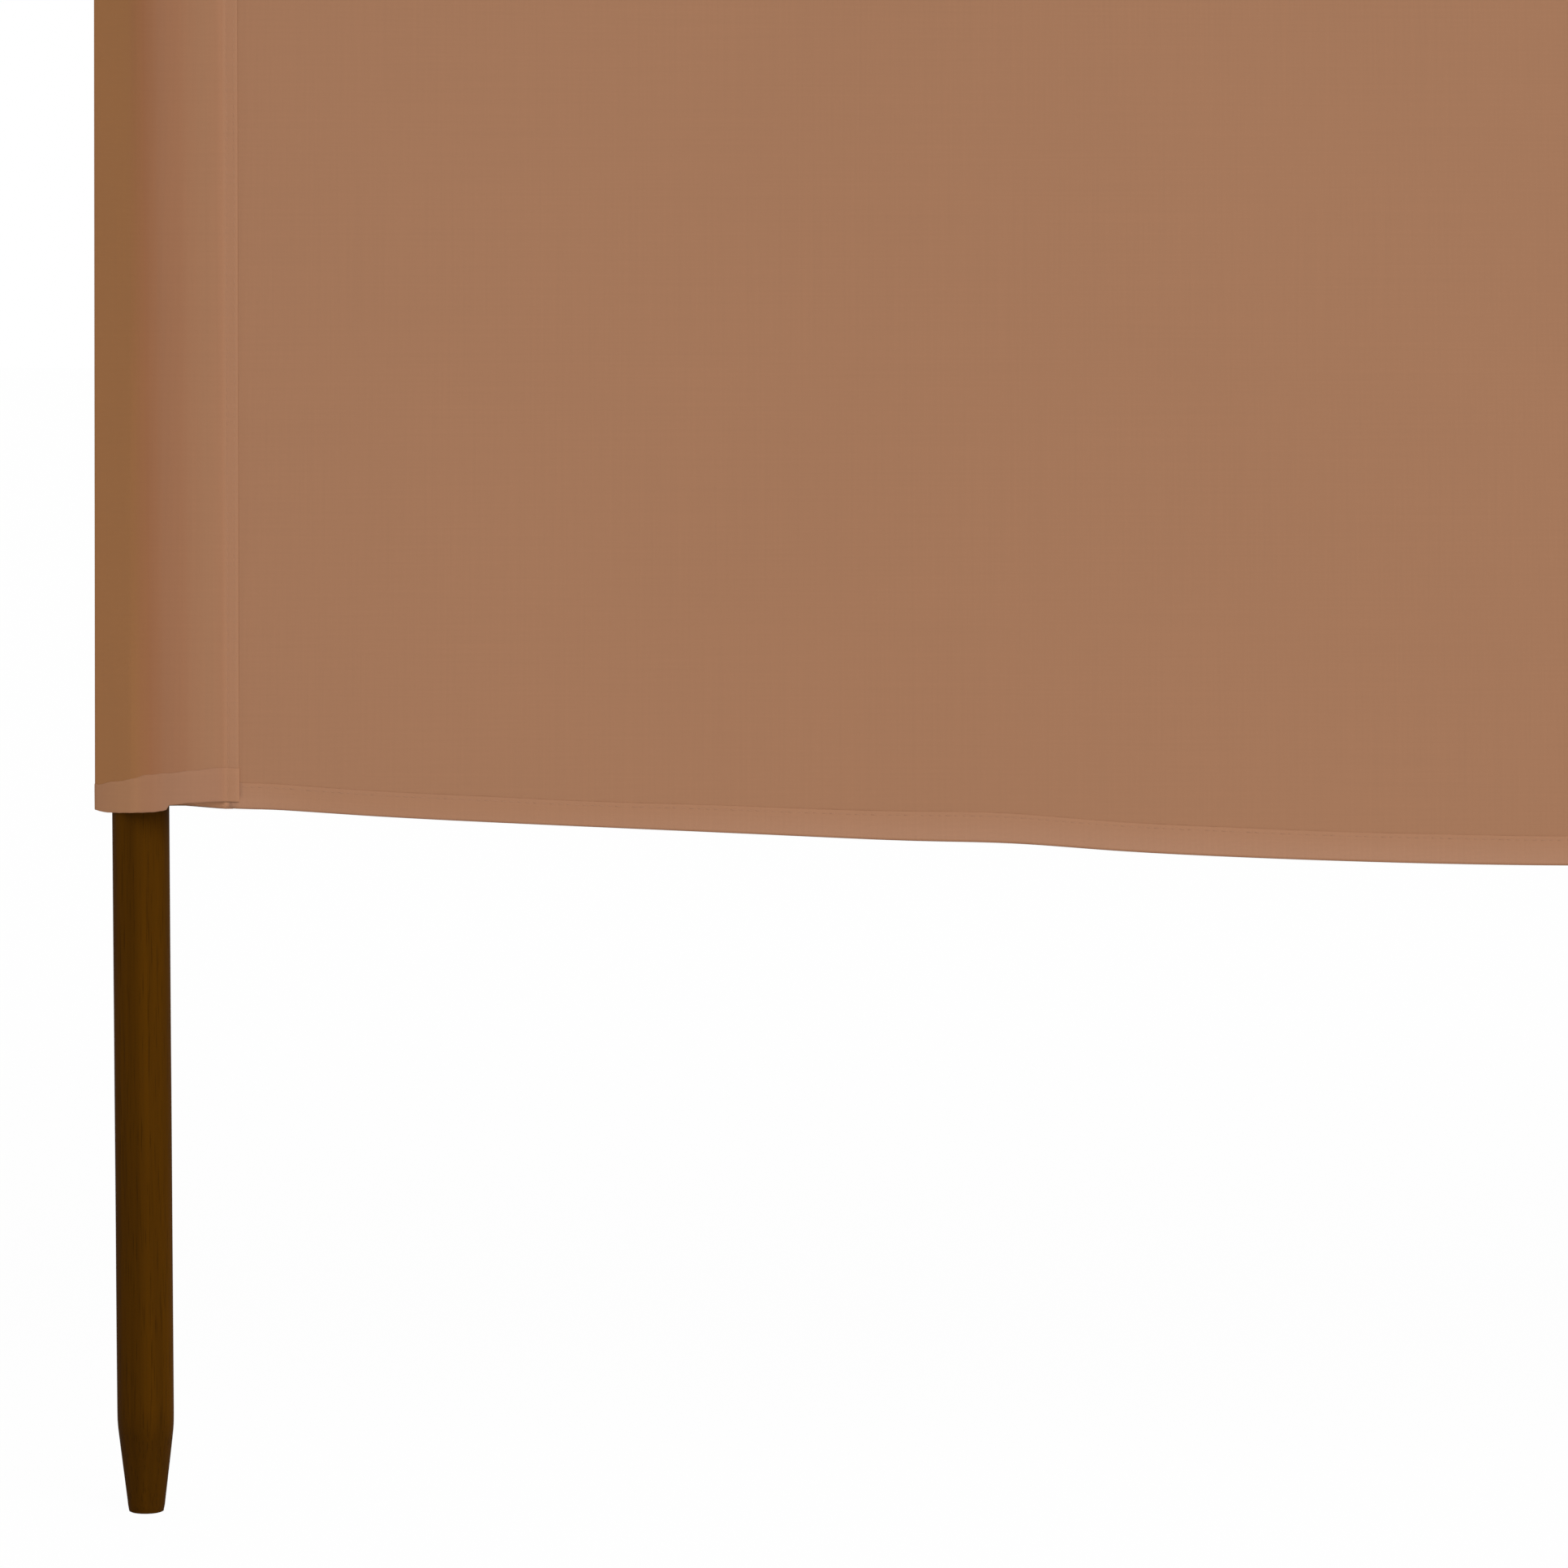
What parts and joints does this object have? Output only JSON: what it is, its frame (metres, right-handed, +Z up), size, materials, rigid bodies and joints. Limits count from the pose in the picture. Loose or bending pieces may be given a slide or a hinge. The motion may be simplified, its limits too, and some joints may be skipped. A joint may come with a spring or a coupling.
{
  "type": "fabric windbreak",
  "caption": "Long free-standing fabric windbreak: slack cloth bays with hemmed edges, sewn pole pockets and round wooden posts with tapered feet.",
  "frame": {"origin": "on the flat foot of the left end post, on the axis of the post", "axes": "+X along the row to the right as seen from the front, -Y to the front, +Z up along the posts"},
  "size_m": [6.7126, 0.0659, 1.2],
  "materials": {
    "post_wood": "dark brown stained round softwood, satin",
    "cloth": "plain woven polyester, taupe brown, matt",
    "hem_cloth": "the same polyester turned over and stitched, a little lighter"
  },
  "bodies": {
    "root": {"post_1": "post_wood", "post_2": "post_wood", "post_3": "post_wood", "post_4": "post_wood", "post_5": "post_wood", "post_6": "post_wood", "pocket_1": "cloth", "pocket_2": "cloth", "pocket_3": "cloth", "pocket_4": "cloth", "pocket_5": "cloth", "pocket_6": "cloth", "pocket_bottom_hem_1": "hem_cloth", "pocket_bottom_hem_2": "hem_cloth", "pocket_bottom_hem_3": "hem_cloth", "pocket_bottom_hem_4": "hem_cloth", "pocket_bottom_hem_5": "hem_cloth", "pocket_bottom_hem_6": "hem_cloth", "pocket_top_hem_1": "hem_cloth", "pocket_top_hem_2": "hem_cloth", "pocket_top_hem_3": "hem_cloth", "pocket_top_hem_4": "hem_cloth", "pocket_top_hem_5": "hem_cloth", "pocket_top_hem_6": "hem_cloth", "panel_1": "cloth", "panel_2": "cloth", "panel_3": "cloth", "panel_4": "cloth", "panel_5": "cloth", "bottom_hem_1": "hem_cloth", "bottom_hem_2": "hem_cloth", "bottom_hem_3": "hem_cloth", "bottom_hem_4": "hem_cloth", "bottom_hem_5": "hem_cloth", "top_hem_1": "hem_cloth", "top_hem_2": "hem_cloth", "top_hem_3": "hem_cloth", "top_hem_4": "hem_cloth", "top_hem_5": "hem_cloth"}
  },
  "joints": []
}
